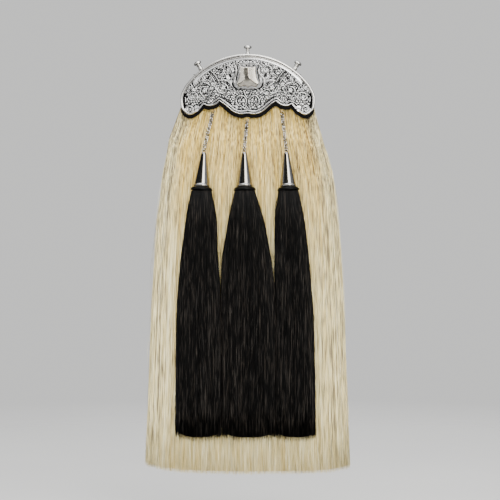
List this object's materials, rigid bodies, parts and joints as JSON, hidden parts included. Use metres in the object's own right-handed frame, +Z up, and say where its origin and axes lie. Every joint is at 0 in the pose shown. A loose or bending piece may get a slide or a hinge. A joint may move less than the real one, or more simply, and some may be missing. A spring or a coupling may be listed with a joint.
{
  "type": "dress sporran pouch",
  "caption": "Full dress horsehair sporran: embossed silver cantle over a white hair fall, black hair tassels on chains, and a leather pouch with strap loops behind.",
  "frame": {"origin": "on the centre line of the strap, midway between the two strap loops on the pouch's back", "axes": "+Z up as worn, -Y the front, +X to the right of someone who looks at the front"},
  "size_m": [0.2216, 0.0782, 0.4786],
  "materials": {
    "cast_silver": "cast relief, bright on the raised parts and dark in the recesses",
    "polished_silver": "mirror polish",
    "chain_steel": "bright wire",
    "black_leather": "smooth black, semi-gloss",
    "white_horsehair": "long straight cream white hair, golden in places",
    "black_horsehair": "long straight black hair with a soft sheen"
  },
  "bodies": {
    "root": {"cantle": "cast_silver", "badge_frame": "polished_silver", "badge_shield": "polished_silver", "knob_left": "polished_silver", "knob_centre": "polished_silver", "knob_right": "polished_silver", "cantle_backing": "black_leather", "pouch": "black_leather", "strap_loop_left": "black_leather", "strap_loop_right": "black_leather", "hair_fall": "white_horsehair", "tassel_cone_left": "polished_silver", "tassel_cone_centre": "polished_silver", "tassel_cone_right": "polished_silver", "tassel_collar_left": "black_leather", "tassel_collar_centre": "black_leather", "tassel_collar_right": "black_leather", "tassel_hair_left": "black_horsehair", "tassel_hair_centre": "black_horsehair", "tassel_hair_right": "black_horsehair", "chain_left": "chain_steel", "chain_centre": "chain_steel", "chain_right": "chain_steel", "chain_staple_left": "chain_steel", "chain_staple_centre": "chain_steel", "chain_staple_right": "chain_steel"}
  },
  "joints": []
}
